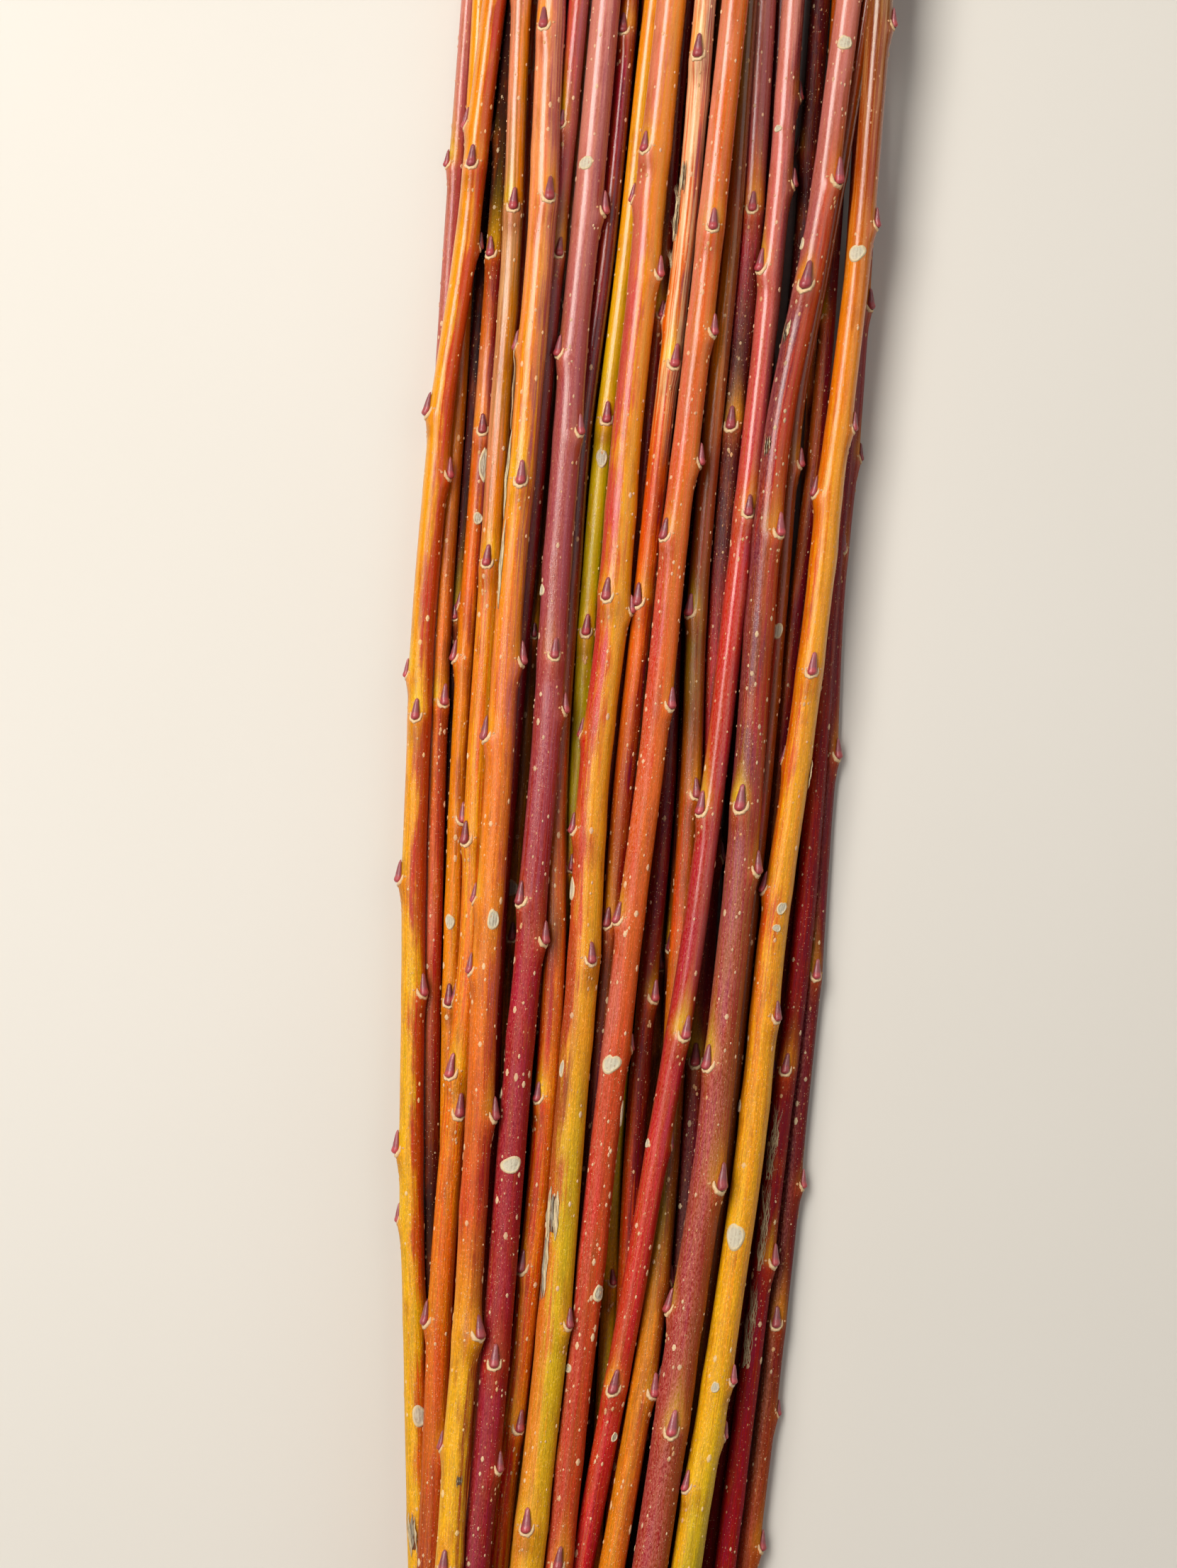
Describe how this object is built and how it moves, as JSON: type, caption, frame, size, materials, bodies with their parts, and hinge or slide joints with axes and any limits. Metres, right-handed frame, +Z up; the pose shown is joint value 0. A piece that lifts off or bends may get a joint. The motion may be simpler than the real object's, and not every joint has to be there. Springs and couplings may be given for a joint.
{
  "type": "bundle of twigs",
  "caption": "Loose bundle of cut willow twigs with pressed buds and yellow, orange, red and maroon bark, lying on its side in a low heap.",
  "frame": {"origin": "under the middle of the heap, on the surface that it lies on", "axes": "+Y along the bundle from the cut butts to the tips, the way the buds point; +Z up; +X across the bundle"},
  "size_m": [0.102, 0.36, 0.0299],
  "materials": {
    "bark_yellow": "waxy, golden yellow to orange",
    "bark_orange": "waxy, tan orange with brown streaks",
    "bark_red": "glossy, scarlet to crimson",
    "bark_mauve": "dull bloom over mauve and plum",
    "bark_maroon": "satin, dark maroon",
    "bark_olive": "waxy, olive yellow",
    "bark_tan": "fibrous, tan where the bark has peeled"
  },
  "bodies": {
    "root": {"twig_under_1": "bark_orange", "twig_under_2": "bark_maroon", "twig_under_3": "bark_red", "twig_under_4": "bark_mauve", "twig_under_5": "bark_maroon", "twig_under_6": "bark_yellow", "twig_under_7": "bark_red", "twig_under_8": "bark_maroon", "twig_valley_1": "bark_maroon", "twig_valley_2": "bark_orange", "twig_valley_3": "bark_red", "twig_valley_4": "bark_maroon", "twig_valley_5": "bark_mauve", "twig_edge_1": "bark_mauve", "twig_edge_2": "bark_maroon", "twig_shaded_1": "bark_maroon", "twig_shaded_2": "bark_maroon", "twig_shaded_3": "bark_maroon", "twig_shaded_5": "bark_tan", "twig_shaded_6": "bark_red", "twig_shaded_4": "bark_red", "twig_middle_1": "bark_maroon", "twig_middle_2": "bark_olive", "twig_middle_3": "bark_red", "twig_middle_4": "bark_olive", "twig_middle_5": "bark_mauve", "twig_middle_6": "bark_orange", "twig_middle_7": "bark_tan", "twig_middle_8": "bark_olive", "twig_middle_9": "bark_red", "twig_middle_10": "bark_red", "twig_middle_11": "bark_orange", "twig_middle_12": "bark_orange", "twig_middle_13": "bark_red", "twig_top_1": "bark_yellow", "twig_top_2": "bark_orange", "twig_top_3": "bark_mauve", "twig_top_4": "bark_yellow", "twig_top_5": "bark_red", "twig_top_6": "bark_orange", "twig_top_7": "bark_olive", "twig_top_8": "bark_mauve", "twig_top_9": "bark_orange"}
  },
  "joints": []
}
